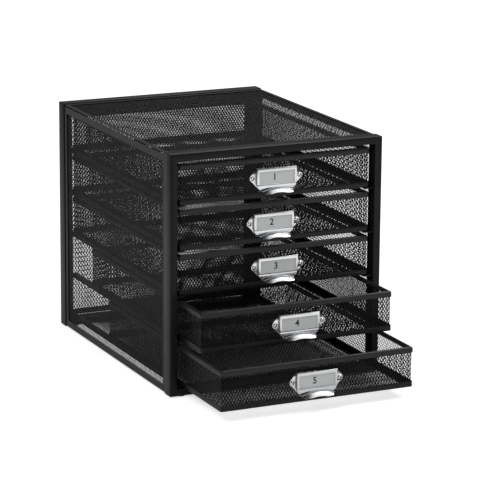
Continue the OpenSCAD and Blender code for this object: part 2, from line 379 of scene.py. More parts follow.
def on_each_drawer(model, kind, material=None):
    """Copies the top drawer's piece to the other drawers, each over its own CAD node."""
    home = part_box(f"drawer_1_{kind}")[0]
    copies = {i: another(model) for i in DRAWERS[1:]}
    copies[1] = model
    for i, obj in sorted(copies.items()):
        node = f"drawer_{i}_{kind}"
        shift(obj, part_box(node)[0] - home)
        hand_over(obj, f"{node}_dressed", f"drawer_{i}", material, (node,))


# ---------------------------------------------------------------- finishes


def socket(group, name, way, kind, default=None, low=None, high=None):
    """A node group's input or output."""
    made = group.interface.new_socket(name=name, in_out=way, socket_type=kind)
    if default is not None:
        made.default_value = default
    if low is not None:
        made.min_value, made.max_value = low, high


def wire(tree, *links):
    """Links outputs to inputs."""
    for out, into in links:
        tree.links.new(out, into)


def feed(tree, inputs, values):
    """Gives each input a number or another node's output."""
    for into, value in zip(inputs, values):
        if isinstance(value, (int, float)):
            into.default_value = value
        else:
            wire(tree, (value, into))


def reckon(tree, kind, *values):
    """One sum of the shader's: each value is another node's output or a number."""
    node = tree.nodes.new("ShaderNodeMath")
    node.operation = kind
    feed(tree, node.inputs, values)
    return node.outputs[0]


# A Mix node has sockets of its own for each kind: these are its first input and its output.
MIX_SOCKETS = {"FLOAT": (2, 0), "RGBA": (6, 2)}


def blend(tree, kind, share, one, other):
    """A mix of two numbers or two colours: all of one at share 0, all of the other at 1."""
    node = tree.nodes.new("ShaderNodeMix")
    node.data_type = kind
    first, result = MIX_SOCKETS[kind]
    feed(tree, (node.inputs[0], node.inputs[first], node.inputs[first + 1]), (share, one, other))
    return node.outputs[result]


def ramp(tree, value, span, to=(0.0, 1.0), kind="SMOOTHSTEP"):
    """A value, brought from one span to another and held at that one's ends."""
    step = tree.nodes.new("ShaderNodeMapRange")
    step.interpolation_type = kind
    feed(tree, step.inputs, (value, *span, *to))
    return step.outputs["Result"]


def coordinates(tree, kind):
    """The X, Y and Z of one of the shader's coordinates."""
    place, part = tree.nodes.new("ShaderNodeTexCoord"), tree.nodes.new("ShaderNodeSeparateXYZ")
    wire(tree, (place.outputs[kind], part.inputs[0]))
    return part.outputs


def noise(tree, scale, detail, roughness):
    """Fine clouds in the object's own coordinates."""
    place, clouds = tree.nodes.new("ShaderNodeTexCoord"), tree.nodes.new("ShaderNodeTexNoise")
    clouds.inputs["Detail"].default_value = detail
    clouds.inputs["Roughness"].default_value = roughness
    wire(tree, (place.outputs["Object"], clouds.inputs["Vector"]), (scale, clouds.inputs["Scale"]))
    return clouds.outputs["Fac"]


MOTTLE_SPAN = (0.35, 0.75)  # the mottle's values from which the coat goes from dark to light
MOTTLE_MIDDLE = 0.5


def skin_group():
    """A coat's mottle, its change of gloss, and its fine relief."""
    if "coat_skin" in bpy.data.node_groups:
        return bpy.data.node_groups["coat_skin"]
    g = bpy.data.node_groups.new("coat_skin", "ShaderNodeTree")
    socket(g, "Base", "INPUT", "NodeSocketColor", (0.01, 0.01, 0.01, 1))
    socket(g, "Light", "INPUT", "NodeSocketColor", (0.02, 0.02, 0.02, 1))
    socket(g, "Mottle Scale", "INPUT", "NodeSocketFloat", 60.0, 0, 5000)
    socket(g, "Grain Scale", "INPUT", "NodeSocketFloat", 900.0, 0, 20000)
    socket(g, "Roughness", "INPUT", "NodeSocketFloat", 0.4, 0, 1)
    socket(g, "Roughness Spread", "INPUT", "NodeSocketFloat", 0.08, 0, 1)
    socket(g, "Relief", "INPUT", "NodeSocketFloat", 0.1, 0, 1)
    socket(g, "Relief Height", "INPUT", "NodeSocketFloat", 0.0001, 0, 0.01)
    socket(g, "Color", "OUTPUT", "NodeSocketColor")
    socket(g, "Roughness", "OUTPUT", "NodeSocketFloat")
    socket(g, "Normal", "OUTPUT", "NodeSocketVector")
    given, out = g.nodes.new("NodeGroupInput").outputs, g.nodes.new("NodeGroupOutput").inputs
    mottle = noise(g, given["Mottle Scale"], detail=4, roughness=0.6)
    grain = noise(g, given["Grain Scale"], detail=2, roughness=0.5)
    patches = ramp(g, mottle, MOTTLE_SPAN, kind="LINEAR")
    spread = reckon(g, "SUBTRACT", mottle, MOTTLE_MIDDLE)
    bump = g.nodes.new("ShaderNodeBump")
    wire(
        g,
        (blend(g, "RGBA", patches, given["Base"], given["Light"]), out["Color"]),
        (reckon(g, "MULTIPLY_ADD", spread, given["Roughness Spread"], given["Roughness"]),
         out["Roughness"]),
        (given["Relief"], bump.inputs["Strength"]),
        (given["Relief Height"], bump.inputs["Distance"]),
        (grain, bump.inputs["Height"]),
        (bump.outputs["Normal"], out["Normal"]),
    )
    return g


def finish(name, base, light, shader=(), **skin):
    """A Principled material on the coat's skin; shader holds its values that are even all over."""
    if name in bpy.data.materials:
        return bpy.data.materials[name]
    m = bpy.data.materials.new(name)
    m.use_nodes = True
    tree = m.node_tree
    bsdf = tree.nodes["Principled BSDF"]
    coat = tree.nodes.new("ShaderNodeGroup")
    coat.node_tree = skin_group()
    coat.inputs["Base"].default_value = (*base, 1)
    coat.inputs["Light"].default_value = (*light, 1)
    for socket_name, value in skin.items():
        coat.inputs[socket_name.replace("_", " ").title()].default_value = value
    for socket_name, value in dict(shader).items():
        bsdf.inputs[socket_name].default_value = value
    wire(
        tree,
        (coat.outputs["Color"], bsdf.inputs["Base Color"]),
        (coat.outputs["Roughness"], bsdf.inputs["Roughness"]),
        (coat.outputs["Normal"], bsdf.inputs["Normal"]),
    )
    return m


def tint(colour, by):
    """A lighter or darker colour."""
    return tuple(min(c * by, 1.0) for c in colour)


def frame_paint():
    f = bpy.context.scene.cabinet.finish
    return finish("frame_satin_paint", f.paint, f.paint_light, {"Specular IOR Level": 0.18},
                  mottle_scale=35, grain_scale=1400, roughness=0.36, roughness_spread=0.12,
                  relief=0.25, relief_height=0.00005)


def drawer_paint():
    f = bpy.context.scene.cabinet.finish
    return finish("drawer_satin_paint", tint(f.paint, 0.9), tint(f.paint_light, 0.9),
                  {"Specular IOR Level": 0.24}, mottle_scale=45, grain_scale=1600, roughness=0.34,
                  roughness_spread=0.12, relief=0.2, relief_height=0.00004)


# Painted light: a lighter copy of the black paint, for the light that the drawers' rims catch.
def rim_paint():
    f = bpy.context.scene.cabinet.finish
    return finish("rim_coat_painted_light", f.rim, tint(f.rim, 1.4), {"Specular IOR Level": 0.24},
                  mottle_scale=45, grain_scale=1600, roughness=0.34, roughness_spread=0.12,
                  relief=0.2, relief_height=0.00004)


def lattice_paint():
    f = bpy.context.scene.cabinet.finish
    return finish("lattice_paint", f.paint, f.paint_light, {"IOR": 1.2},
                  mottle_scale=50, grain_scale=2400, roughness=0.4, roughness_spread=0.1,
                  relief=0.1, relief_height=0.00002)


def plated_steel():
    f = bpy.context.scene.cabinet.finish
    return finish("pull_plating", f.plating, tint(f.plating, 0.9), {"Metallic": 1.0},
                  mottle_scale=120, grain_scale=260, roughness=0.15, roughness_spread=0.1,
                  relief=0.08, relief_height=0.0002)


def white_card():
    f = bpy.context.scene.cabinet.finish
    return finish("label_card_paper", f.card, tint(f.card, 1.06), {"Specular IOR Level": 0.3},
                  mottle_scale=400, grain_scale=3000, roughness=0.62, roughness_spread=0.05,
                  relief=0.3, relief_height=0.00004)


def card_ink():
    f = bpy.context.scene.cabinet.finish
    return finish("card_number_ink", f.ink, tint(f.ink, 1.8), {"Specular IOR Level": 0.3},
                  mottle_scale=900, grain_scale=3000, roughness=0.55, roughness_spread=0.05,
                  relief=0.1, relief_height=0.00002)


def bright_rivet():
    f = bpy.context.scene.cabinet.finish
    return finish("rivet_plating", f.rivet, tint(f.rivet, 0.85), {"Metallic": 1.0},
                  mottle_scale=300, grain_scale=900, roughness=0.14, roughness_spread=0.1,
                  relief=0.1, relief_height=0.00002)


# Painted shade: the dark coat that stands in for the shade in the rivets' holes and the card frames'
# hollow sides.
def hollow_steel():
    f = bpy.context.scene.cabinet.finish
    return finish("painted_shade_dark_steel", f.hollow, tint(f.hollow, 1.6), {"Specular IOR Level": 0.2},
                  mottle_scale=300, grain_scale=900, roughness=0.6, roughness_spread=0.1,
                  relief=0.1, relief_height=0.00002)


def foot_rubber():
    f = bpy.context.scene.cabinet.finish
    return finish("foot_black_rubber", f.rubber, tint(f.rubber, 2), {"Specular IOR Level": 0.3},
                  mottle_scale=90, grain_scale=1800, roughness=0.75, roughness_spread=0.08,
                  relief=0.4, relief_height=0.00008)


# ---------------------------------------------------------------- expanded metal


def weave(columns, rows, cell_width, cell_length, name):
    """Strands that zigzag up the XZ plane and touch their neighbours, flat side towards -Y.

    One bend of a strand is extruded from a triangle, stacked into a strand, paired with its
    neighbour half a cell on, and repeated."""
    m = bpy.context.scene.cabinet.metal
    rest()
    bpy.ops.mesh.primitive_circle_add(vertices=3, radius=1, fill_type="NGON")
    obj = bpy.context.object
    obj.name = name
    obj.scale = (m.strand_width / sqrt(3), m.strand_depth / 1.5, 1)
    obj.location = (cell_width / 4, m.strand_depth / 3, -cell_length)
    settle(obj)
    open_mesh(obj)
    extrude((cell_width / 2, 0, cell_length / 2))
    extrude((-cell_width / 2, 0, cell_length / 2))
    bpy.ops.mesh.select_all(action="SELECT")
    bpy.ops.mesh.normals_make_consistent(inside=False)
    pick("FACE", lambda at, f: abs(f.normal.z) > FLAT)
    bpy.ops.mesh.delete(type="ONLY_FACE")
    use(obj, "ARRAY", count=rows + 2, use_relative_offset=False, use_constant_offset=True,
        constant_offset_displace=(0, 0, cell_length), use_merge_vertices=True,
        merge_threshold=TOUCH)
    open_mesh(obj)
    bpy.ops.mesh.duplicate_move(
        TRANSFORM_OT_translate={"value": (cell_width / 2, 0, -cell_length / 2)})
    use(obj, "ARRAY", count=columns, use_relative_offset=False, use_constant_offset=True,
        constant_offset_displace=(cell_width, 0, 0))
    open_mesh(obj)
    bpy.ops.transform.vertex_random(offset=m.unevenness, uniform=0, normal=0, seed=7)
    shift(obj, (0, m.unevenness / 2, 0))
    return obj


def lay_out_map(obj, width, height, low=0.0, high=1.0):
    """Gives the flat sheet its map: x across, and z between low and high."""
    mesh = obj.data
    place = np.empty(len(mesh.vertices) * 3, np.float32)
    mesh.vertices.foreach_get("co", place)
    place = place.reshape(-1, 3)
    corner = np.empty(len(mesh.loops), np.int32)
    mesh.loops.foreach_get("vertex_index", corner)
    flat = np.stack([place[:, 0] / width, low + place[:, 2] / height * (high - low)], 1)
    layer = mesh.uv_layers.get(UV_MAP) or mesh.uv_layers.new(name=UV_MAP)
    layer.uv.foreach_set("vector", flat.clip(0, 1)[corner].astype(np.float32).ravel())


def sheet_of_metal(width, height, name):
    """A flat rectangle of expanded metal from the origin towards +X and +Z."""
    m = bpy.context.scene.cabinet.metal
    columns, rows = int(width / m.cell_width) + 2, int(height / m.cell_length) + 2
    obj = weave(columns, rows, m.cell_width, m.cell_length, name)
    shift(obj, (-m.cell_width, 0, 0))
    for at, normal in (
        ((0, 0, 0), (-1, 0, 0)), ((width, 0, 0), (1, 0, 0)),
        ((0, 0, 0), (0, 0, -1)), ((0, 0, height), (0, 0, 1)),
    ):
        cut(obj, at, normal)
    lay_out_map(obj, width, height)
    return obj


def stand(obj, corner, turn):
    """Turns the flat sheet and sets its first corner down at a place."""
    take(obj)
    obj.matrix_world = Matrix.Translation(corner) @ turn
    settle(obj)


# Each panel: the axes of its width and height, the corner that its sheet starts from, as 0 for
# the low side of an axis and 1 for the high one, and the turn that stands the sheet up there.
PANELS = (
    ("left_side_mesh", "y", "z", (0, 1, 0), Matrix.Rotation(-pi / 2, 4, "Z")),
    ("right_side_mesh", "y", "z", (1, 0, 0), Matrix.Rotation(pi / 2, 4, "Z")),
    ("top_mesh", "x", "y", (0, 0, 1), Matrix.Rotation(-pi / 2, 4, "X")),
    ("back_mesh", "x", "z", (1, 1, 0), Matrix.Rotation(pi, 4, "Z")),
)


class DRAWERS_OT_panels(bpy.types.Operator):
    """Make the cabinet's side, top and back panels of expanded metal"""

    bl_idname = "drawers.panels"
    bl_label = "Cabinet panels"

    def execute(self, context):
        for node, wide, tall, corner, turn in PANELS:
            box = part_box(node)
            size = box[1] - box[0]
            obj = sheet_of_metal(getattr(size, wide), getattr(size, tall), node)
            stand(obj, [box[end][axis] for axis, end in enumerate(corner)], turn)
            hand_over(obj, node.replace("mesh", "lattice"), "cabinet",
                      lattice_paint(), (node,))
        return {"FINISHED"}


def outline_path(low, high, radius, z, steps=6):
    """A closed path round a rectangle with round corners, anticlockwise from mid rear."""
    points = [Vector(((low.x + high.x) / 2, high.y, z))]
    for cx, cy, start in (
        (low.x + radius, high.y - radius, pi / 2), (low.x + radius, low.y + radius, pi),
        (high.x - radius, low.y + radius, 1.5 * pi), (high.x - radius, high.y - radius, 0),
    ):
        for k in range(steps + 1):
            a = start + pi / 2 * k / steps
            points.append(Vector((cx + radius * cos(a), cy + radius * sin(a), z)))
    made = bpy.data.curves.new("basket_path", "CURVE")
    made.dimensions = "3D"
    line = made.splines.new("POLY")
    line.points.add(len(points) - 1)
    for spot, p in zip(line.points, points):
        spot.co = (*p, 1)
    line.use_cyclic_u = True
    path = bpy.data.objects.new("basket_path", made)
    bpy.context.scene.collection.objects.link(path)
    length = sum((a - b).length for a, b in zip(points, points[1:] + points[:1]))
    return path, length


class DRAWERS_OT_baskets(bpy.types.Operator):
    """Make each drawer's basket: walls bent round its corners from one strip, and a floor"""

    bl_idname = "drawers.baskets"
    bl_label = "Drawer baskets"

    def execute(self, context):
        s = context.scene.cabinet
        low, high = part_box("drawer_1_basket")
        size = high - low
        path, length = outline_path(low, high, s.sheet.corner - WALL_INSET, low.z)
        columns = round(length / s.metal.cell_width)
        rows = int(size.z / s.metal.cell_length) + 2
        walls = weave(columns, rows, length / columns, s.metal.cell_length, "drawer_basket")
        cut(walls, (0, 0, 0), (0, 0, -1))
        cut(walls, (0, 0, size.z), (0, 0, 1))
        lay_out_map(walls, length, size.z, *WALL_MAP)
        use(walls, "CURVE", object=path, deform_axis="POS_X")
        bpy.data.objects.remove(path)
        floor = sheet_of_metal(size.x - 2 * FLOOR_INSET, size.y - 2 * FLOOR_INSET, "drawer_floor")
        lay_out_map(floor, size.x, size.y, *FLOOR_MAP)
        stand(floor, low + Vector((FLOOR_INSET, FLOOR_INSET, FLOOR_LIFT)),
              Matrix.Rotation(-pi / 2, 4, "X"))
        basket = join(walls, floor)
        on_each_drawer(basket, "basket", lattice_paint())
        return {"FINISHED"}


# ---------------------------------------------------------------- folded sheet


class DRAWERS_OT_frames(bpy.types.Operator):
    """Make the front and rear frames, folded channels with soft edges"""

    bl_idname = "drawers.frames"
    bl_label = "Frames"

    def execute(self, context):
        s = context.scene.cabinet.sheet
        for node, hollow in (("front_frame", 1), ("rear_frame", -1)):
            low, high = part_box(node)
            obj = block(low, high)
            open_mesh(obj)
            pick("FACE", lambda at, f: abs(f.normal.y) > FLAT)
            bpy.ops.mesh.inset(thickness=s.frame_bar)
            bpy.ops.mesh.bridge_edge_loops()
            pick("FACE", lambda at, f: f.normal.y * hollow > FLAT)
            bpy.ops.mesh.inset(thickness=s.frame_skin)
            extrude((0, hollow * (s.frame_skin - (high.y - low.y)), 0))
            bpy.ops.mesh.select_all(action="SELECT")
            bpy.ops.mesh.normals_make_consistent(inside=False)
            round_folds(obj, s.frame_fold, 3)
            hand_over(obj, f"{node}_dressed", "cabinet", frame_paint(),
                      (node,))
        return {"FINISHED"}


def on_rim(at, low, high, corner):
    """Whether a place is on the drawer's outline, rather than on the ring's inner edge."""
    off, reach = at - (low + high) / 2, (high - low) / 2
    return abs(off.x) > reach.x - corner - TOUCH or abs(off.y) > reach.y - corner - TOUCH


def hem_ring(low, high, z, inset, corner):
    """A flat ring at height z that follows a drawer's outline, square at its inner corners."""
    rest()
    middle = (low + high) / 2
    bpy.ops.mesh.primitive_plane_add(size=1, location=(middle.x, middle.y, z))
    obj = bpy.context.object
    obj.scale = (high.x - low.x, high.y - low.y, 1)
    settle(obj)
    open_mesh(obj)
    pick("VERT", lambda at, v: True)
    bpy.ops.mesh.bevel(offset=corner, segments=6, affect="VERTICES")
    pick("FACE", lambda at, f: True)
    bpy.ops.mesh.inset(thickness=inset)
    bpy.ops.mesh.delete(type="ONLY_FACE")
    for x in (low.x + inset, high.x - inset):
        for y in (low.y + inset, high.y - inset):
            pick("VERT", lambda at, v: not on_rim(at, low, high, corner - 2 * TOUCH)
                 and (at.x - middle.x) * (x - middle.x) > 0
                 and (at.y - middle.y) * (y - middle.y) > 0)
            bpy.ops.transform.resize(value=(0, 0, 0), center_override=(x, y, z))
            bpy.ops.mesh.remove_doubles(threshold=TOUCH)
    return obj


def ring_edges(low, high, corner, outer):
    """Picks the ring's outer or inner boundary."""
    pick("EDGE", lambda at, e: e.is_boundary and on_rim(at, low, high, corner) == outer)


def aim_ring(obj, z, way):
    """Turns the folded sheet's outside out: its flat ring at height z faces up or down."""
    bpy.ops.mesh.normals_make_consistent(inside=False)
    bm = bmesh.from_edit_mesh(obj.data)
    bm.normal_update()
    ring = [f for f in bm.faces if abs(f.calc_center_median().z - z) < TOUCH]
    if sum(f.normal.z for f in ring) * way < 0:
        bpy.ops.mesh.flip_normals()
    rest()


class DRAWERS_OT_rims(bpy.types.Operator):
    """Make the drawers' rims: a hem folded over the basket's upper edge"""

    bl_idname = "drawers.rims"
    bl_label = "Drawer rims"

    def execute(self, context):
        s = context.scene.cabinet.sheet
        low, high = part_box("drawer_1_rim")
        obj = hem_ring(low, high, high.z, s.rim_top, s.corner)
        ring_edges(low, high, s.corner, True)
        extrude((0, 0, low.z - high.z))
        ring_edges(low, high, s.corner, False)
        extrude((0, 0, -s.rim_lip))
        pick("EDGE", lambda at, e: abs(at.z - high.z) < TOUCH and on_rim(at, low, high, s.corner)
             and any(abs(f.normal.z) < FLAT for f in e.link_faces))
        bpy.ops.mesh.bevel(offset=s.rim_round, segments=4, affect="EDGES")
        bpy.ops.mesh.select_all(action="SELECT")
        aim_ring(obj, high.z, 1)
        use(obj, "SOLIDIFY", thickness=s.rim_skin, offset=-1)
        round_folds(obj, s.rim_fold)
        on_each_drawer(obj, "rim", rim_paint())
        return {"FINISHED"}


class DRAWERS_OT_base_bands(bpy.types.Operator):
    """Make the bands round the drawers' bases, with their flange under the floor"""

    bl_idname = "drawers.base_bands"
    bl_label = "Base bands"

    def execute(self, context):
        s = context.scene.cabinet.sheet
        low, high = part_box("drawer_1_base_band")
        obj = hem_ring(low, high, low.z, s.band_flange, s.corner)
        ring_edges(low, high, s.corner, True)
        extrude((0, 0, high.z - low.z))
        bpy.ops.mesh.select_all(action="SELECT")
        aim_ring(obj, low.z, -1)
        use(obj, "SOLIDIFY", thickness=s.band_skin, offset=-1)
        round_folds(obj, s.band_fold)
        on_each_drawer(obj, "base_band", drawer_paint())
        return {"FINISHED"}


class DRAWERS_OT_trims(bpy.types.Operator):
    """Finish the flat strips, runners and feet, whose shapes the frame already has"""

    bl_idname = "drawers.trims"
    bl_label = "Strips, runners and feet"

    def execute(self, context):
        for name, node in frame["nodes"].items():
            if name.endswith("_trim") or name.startswith("runner_"):
                material = frame_paint()
            elif name.startswith("foot_"):
                material = foot_rubber()
            else:
                continue
            node.data.materials.clear()
            node.data.materials.append(material)
        return {"FINISHED"}


# ---------------------------------------------------------------- pulls


def set_widths(*widths):
    """In edit mode, moves the points at each height from the plate's edge to a half width."""
    for side in SIDES:
        for z, half in widths:
            pick("VERT", lambda at, v: abs(at.z - z) < TOUCH and at.x * side > 0)
            bpy.ops.transform.translate(value=(side * (half - PLATE_HALF), 0, 0))


def plate():
    """The pull's back plate: two ears with round tips, a waist, and a narrower foot."""
    rest()
    tall = PLATE_TOP - PLATE_FOOT
    bpy.ops.mesh.primitive_plane_add(
        size=1, location=(0, PLATE_FRONT, PLATE_FOOT + tall / 2), rotation=(pi / 2, 0, 0))
    obj = bpy.context.object
    obj.scale = (2 * PLATE_HALF, tall, 1)
    settle(obj)
    for z in (EAR_Z, CARD_FRAME_LOW, SIDE_Z):
        cut(obj, (0, 0, z), (0, 0, 1), clear=False)
    open_mesh(obj)
    set_widths((EAR_Z, EAR_TIP), (CARD_FRAME_LOW, WAIST_HALF), (SIDE_Z, SIDE_HALF),
               (PLATE_FOOT, FOOT_HALF))
    pick("VERT", lambda at, v: abs(at.x) > EAR_TIP - TOUCH)
    bpy.ops.mesh.bevel(offset=EAR_ROUND, segments=6, affect="VERTICES")
    pick("VERT", lambda at, v: at.z < PLATE_FOOT + TOUCH)
    bpy.ops.mesh.bevel(offset=FOOT_ROUND, segments=4, affect="VERTICES")
    use(obj, "SOLIDIFY", thickness=PLATE_BACK - PLATE_FRONT, offset=-1)
    round_folds(obj, PLATE_FOLD)
    return obj


def card_frame():
    """The raised frame: a window, a slot for the card behind its lips, and hollow sides."""
    front, edge = CARD_FRAME_FRONT, CARD_FRAME_ROUND + CARD_FRAME_FLAT
    low, high = CARD_FRAME_LOW + edge - TOUCH, PLATE_TOP - edge + TOUCH
    middle = Vector((0, 0, EAR_Z))
    obj = block((-PLATE_HALF, front, CARD_FRAME_LOW), (PLATE_HALF, PLATE_FRONT, PLATE_TOP))
    open_mesh(obj)
    pick("EDGE", lambda at, e: abs(at.y - front) < TOUCH)
    bpy.ops.mesh.bevel(offset=CARD_FRAME_ROUND, segments=3, affect="EDGES")
    pick("FACE", lambda at, f: f.normal.y < -FLAT)
    bpy.ops.mesh.inset(thickness=CARD_FRAME_FLAT)
    for outwards, lip in (
        ((-1, 0, 0), LIP_SIDE), ((1, 0, 0), LIP_SIDE), ((0, 0, 1), LIP_TOP), ((0, 0, -1), LIP_FOOT),
    ):
        way = Vector(outwards)
        pick("VERT", lambda at, v: abs(at.y - front) < TOUCH and low < at.z < high
             and abs(at.x) < PLATE_HALF - edge + TOUCH and (at - middle).dot(way) > 0)
        bpy.ops.transform.translate(value=way * (edge - lip))
    # the window, then the wider slot behind it
    pick("FACE", lambda at, f: f.normal.y < -FLAT and abs(at.x) < PLATE_HALF / 2
         and abs(at.z - EAR_Z) < EAR_Z / 4)
    extrude((0, LIP_THICK, 0))
    extrude((0, 0, 0))
    bpy.ops.transform.resize(
        value=((PLATE_HALF - SLOT_SIDE) / (PLATE_HALF - LIP_SIDE), 1, 1), center_override=(0, 0, 0))
    extrude((0, SLOT_DEEP, 0))
    obj.data.materials.append(plated_steel())
    for side in SIDES:
        pick("FACE", lambda at, f: f.normal.x * side > FLAT and at.x * side > PLATE_HALF - TOUCH)
        bpy.ops.mesh.inset(thickness=SIDE_SKIN)
        extrude((-side * SIDE_DEEP, 0, 0))
        # The recess's faces get the dark coat: painted shade inside the hollow side.
        coat_picked(obj, hollow_steel())
    face_out(obj)
    take(obj)
    bpy.ops.object.shade_smooth_by_angle(angle=FOLD_ANGLE)
    return obj


def skirt():
    """The raised part that joins the card frame to the plate's foot."""
    obj = block((-PLATE_HALF, SKIRT_FRONT, PLATE_FOOT), (PLATE_HALF, PLATE_FRONT, CARD_FRAME_LOW))
    cut(obj, (0, 0, SIDE_Z), (0, 0, 1), clear=False)
    open_mesh(obj)
    set_widths((SIDE_Z, SIDE_HALF), (PLATE_FOOT, FOOT_HALF))
    round_folds(obj, SKIRT_FOLD, 3)
    return obj


def hood():
    """The finger hood: part of a ring on edge, narrower in front, its lower edge arched."""
    rest()
    bpy.ops.mesh.primitive_torus_add(
        major_segments=360, minor_segments=96, major_radius=HOOD_BEND, minor_radius=HOOD_CURVE,
        location=(0, PLATE_FRONT, HOOD_TOP - HOOD_CURVE - HOOD_BEND), rotation=(pi / 2, 0, 0))
    obj = bpy.context.object
    settle(obj)
    cut(obj, (0, 0, HOOD_RIM_SIDE), (0, 0, -1), fill=False)
    cut(obj, (0, PLATE_FRONT, 0), (0, 1, 0), fill=False)
    taper = HOOD_SIDE - HOOD_SIDE_FRONT
    for side in SIDES:
        cut(obj, (side * HOOD_SIDE, PLATE_FRONT, 0), (side * HOOD_DEPTH, -taper, 0), fill=False)
    use(obj, "SOLIDIFY", thickness=HOOD_SKIN, offset=-1)
    rise = HOOD_RIM_MID - HOOD_RIM_SIDE
    arch = (HOOD_ARCH_HALF**2 + rise**2) / (2 * rise)
    rest()
    bpy.ops.mesh.primitive_cylinder_add(
        vertices=256, radius=arch, depth=4 * HOOD_CURVE, location=(0, 0, HOOD_RIM_MID - arch),
        rotation=(pi / 2, 0, 0))
    cutter = bpy.context.object
    settle(cutter)
    use(obj, "BOOLEAN", operation="DIFFERENCE", solver="EXACT", object=cutter)
    bpy.data.objects.remove(cutter)
    round_folds(obj, HOOD_FOLD)
    return obj


class DRAWERS_OT_pulls(bpy.types.Operator):
    """Make the plated pulls: plate, card frame, skirt and finger hood"""

    bl_idname = "drawers.pulls"
    bl_label = "Pulls"

    def execute(self, context):
        parts = plate(), card_frame(), skirt(), hood()
        for part in parts:
            if not part.data.materials:
                part.data.materials.append(plated_steel())
        model = join(*parts)
        shift(model, (0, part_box("drawer_1_rim")[0].y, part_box("drawer_1_base_band")[0].z))
        on_each_drawer(model, "pull")
        return {"FINISHED"}


class DRAWERS_OT_cards(bpy.types.Operator):
    """Make the label cards, each with its drawer's number"""

    bl_idname = "drawers.cards"
    bl_label = "Label cards"

    def execute(self, context):
        for i in DRAWERS:
            node = f"drawer_{i}_card"
            low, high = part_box(node)
            card = block(low, high)
            card.data.materials.append(white_card())
            open_mesh(card)
            pick("EDGE", lambda at, e: abs(at.x - low.x) < TOUCH or abs(at.x - high.x) < TOUCH)
            bpy.ops.mesh.bevel(offset=CARD_FOLD, segments=2, affect="EDGES")
            number = printed(str(i), ((low.x + high.x) / 2 - NUMBER_LEFT,
                                      low.y + NUMBER_SUNK, low.z + NUMBER_LOW))
            hand_over(join(card, number), f"{node}_dressed", f"drawer_{i}",
                      nodes=(node,))
        return {"FINISHED"}


def printed(words, place):
    """Ink on a card: letters as thin solids that face the front."""
    rest()
    bpy.ops.object.text_add(location=place, rotation=(pi / 2, 0, 0))
    obj = bpy.context.object
    obj.data.body = words
    obj.data.size = NUMBER_SIZE
    obj.data.offset = NUMBER_BOLD
    obj.data.extrude = NUMBER_THICK
    obj.data.align_x = "CENTER"
    obj.data.materials.append(card_ink())
    take(obj)
    bpy.ops.object.convert(target="MESH")
    settle(obj)
    face_out(obj)
    return obj


class DRAWERS_OT_rivets(bpy.types.Operator):
    """Make the hollow rivets that hold the pulls, each with a rolled head"""

    bl_idname = "drawers.rivets"
    bl_label = "Rivets"

    def execute(self, context):
        low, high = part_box("drawer_1_rivets")
        middle = (low + high) / 2
        radius = (high.z - low.z) / 2
        rise = high.y - RIVET_BACK - low.y
        dome = (radius**2 + rise**2) / (2 * rise)
        mouth = dome - sqrt(dome**2 - RIVET_HOLE**2)
        heads = []
        for side in SIDES:
            rest()
            bpy.ops.mesh.primitive_uv_sphere_add(
                segments=40, ring_count=64, radius=dome, rotation=(pi / 2, 0, 0),
                location=(middle.x + side * RIVET_X, low.y + dome, middle.z))
            head = bpy.context.object
            settle(head)
            cut(head, (0, low.y + rise, 0), (0, 1, 0))
            cut(head, (0, low.y + mouth, 0), (0, -1, 0))
            head.data.materials.append(bright_rivet())
            open_mesh(head)
            pick("FACE", lambda at, f: f.normal.y > FLAT and at.y > low.y + rise - TOUCH)
            bpy.ops.mesh.inset(thickness=RIVET_STEP * radius)
            extrude((0, RIVET_SHANK, 0))
            pick("FACE", lambda at, f: f.normal.y < -FLAT and at.y < low.y + mouth + TOUCH)
            extrude((0, RIVET_HOLE_DEEP, 0))
            # The hole's faces get the dark coat: painted shade in the rivet's hollow.
            coat_picked(head, hollow_steel())
            round_folds(head, RIVET_FOLD)
            heads.append(head)
        on_each_drawer(join(*heads), "rivets")
        return {"FINISHED"}


# ---------------------------------------------------------------- stage


# The floor, its part under and round the cabinet, which keeps dark, and how softly that ends.
FLOOR_SIZE = 24
SHADE_X, SHADE_Y, SHADE_BLUR = (-100 * MM, 148 * MM), (-176 * MM, 240 * MM), 12 * MM
# The floor's glow: to the eye where it isn't kept dark, and in metal from a near Y to a far one.
EYE_GLOW = 0.6
METAL_GLOW_Y, METAL_GLOW = (-1.0, -0.25), (0.5, 0.05)
# Where the surround grows bright, by the X and the Z of the way to it.
BRIGHT_X, BRIGHT_Z = (0.1, 0.36), (0.2, 0.5)
# The lamps' places from the cabinet's middle, and their widths.
KEY_FROM, KEY_SIZE = Vector((-1.6, -1.2, 1.7)), 1.6
FILL_FROM, FILL_SIZE = Vector((1.4, -0.5, 1.8)), 1.2
# The camera: its turn from straight in front, its lift and its roll, how far it is from what it
# looks at, and how far that is from the cabinet's middle, to the right and up.
VIEW_TURN, VIEW_LIFT, VIEW_ROLL = radians(-25.5), radians(14.2), radians(0.5)
VIEW_AWAY, VIEW_RIGHT, VIEW_UP = 3255.3 * MM, 43.3 * MM, -20.4 * MM
LENS, SENSOR, CLIP_END = 189.3, 36, 100


def surround(name, studio):
    """A world that is white to the eye, lights the object less, and shines from the upper right."""
    world = bpy.data.worlds.new(name)
    world.use_nodes = True
    tree = world.node_tree
    back = tree.nodes["Background"]
    back.inputs["Color"].default_value = (1, 1, 1, 1)
    ray = tree.nodes.new("ShaderNodeLightPath").outputs
    way = coordinates(tree, "Generated")
    bright = reckon(tree, "MULTIPLY", ramp(tree, way["X"], BRIGHT_X), ramp(tree, way["Z"], BRIGHT_Z))
    shine = ramp(tree, bright, (0, 1), (studio.shine_low, studio.shine_high))
    lit = blend(tree, "FLOAT", ray["Is Glossy Ray"], studio.sky, shine)
    seen = reckon(tree, "MAXIMUM", ray["Is Camera Ray"], ray["Is Transmission Ray"])
    wire(tree, (blend(tree, "FLOAT", seen, lit, 1), back.inputs["Strength"]))
    return world


